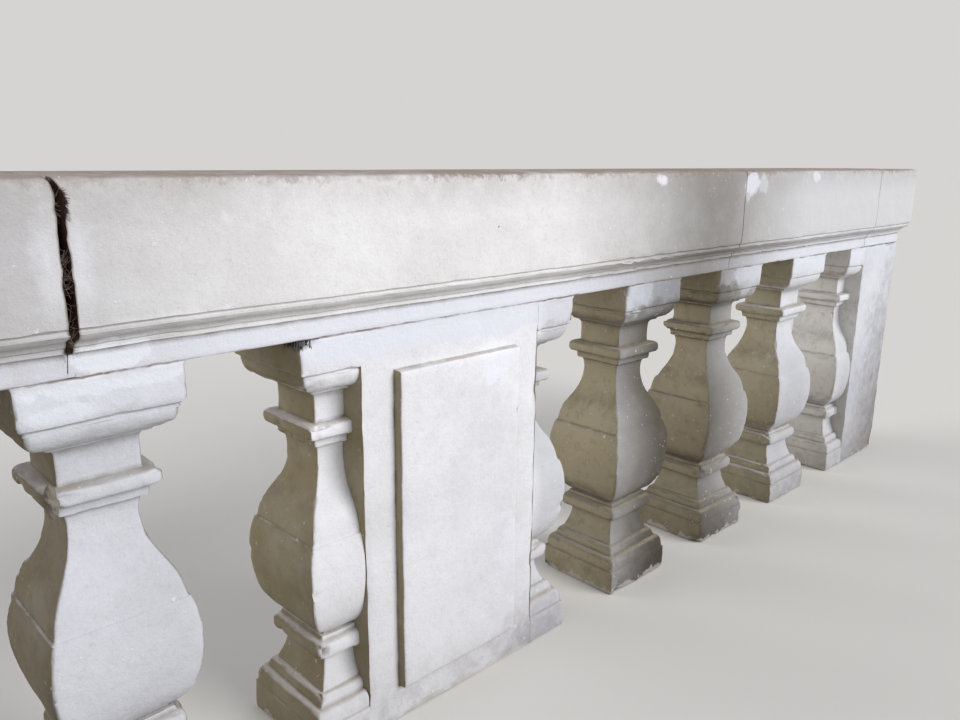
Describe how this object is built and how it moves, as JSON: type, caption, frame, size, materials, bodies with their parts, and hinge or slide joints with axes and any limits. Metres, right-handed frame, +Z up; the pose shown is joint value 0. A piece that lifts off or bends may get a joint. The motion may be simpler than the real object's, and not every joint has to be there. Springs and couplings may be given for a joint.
{
  "type": "stone balustrade",
  "caption": "Straight free-standing stone balustrade: square vase balusters in bays between piers with raised panels, under a heavy moulded rail.",
  "frame": {"origin": "middle of the run at floor level, on the centre line of the wall", "axes": "+X along the run, +Y through the balustrade from the face that the picture shows to the hidden one, +Z up"},
  "size_m": [6.204, 0.28, 1],
  "materials": {
    "limewashed_stone": "old limewash over cut limestone, worn and stained"
  },
  "bodies": {
    "root": {"end_pier_left": "limewashed_stone", "panel_pier_1": "limewashed_stone", "panel_pier_2": "limewashed_stone", "end_pier_right": "limewashed_stone", "bay_1_half_baluster_left": "limewashed_stone", "bay_1_baluster_1": "limewashed_stone", "bay_1_baluster_2": "limewashed_stone", "bay_1_baluster_3": "limewashed_stone", "bay_1_half_baluster_right": "limewashed_stone", "bay_2_half_baluster_left": "limewashed_stone", "bay_2_baluster_1": "limewashed_stone", "bay_2_baluster_2": "limewashed_stone", "bay_2_baluster_3": "limewashed_stone", "bay_2_half_baluster_right": "limewashed_stone", "bay_3_half_baluster_left": "limewashed_stone", "bay_3_baluster_1": "limewashed_stone", "bay_3_baluster_2": "limewashed_stone", "bay_3_baluster_3": "limewashed_stone", "bay_3_half_baluster_right": "limewashed_stone", "rail_stone_1": "limewashed_stone", "rail_stone_2": "limewashed_stone", "rail_stone_3": "limewashed_stone", "rail_stone_4": "limewashed_stone", "rail_stone_5": "limewashed_stone", "rail_stone_6": "limewashed_stone", "rail_stone_7": "limewashed_stone"}
  },
  "joints": []
}
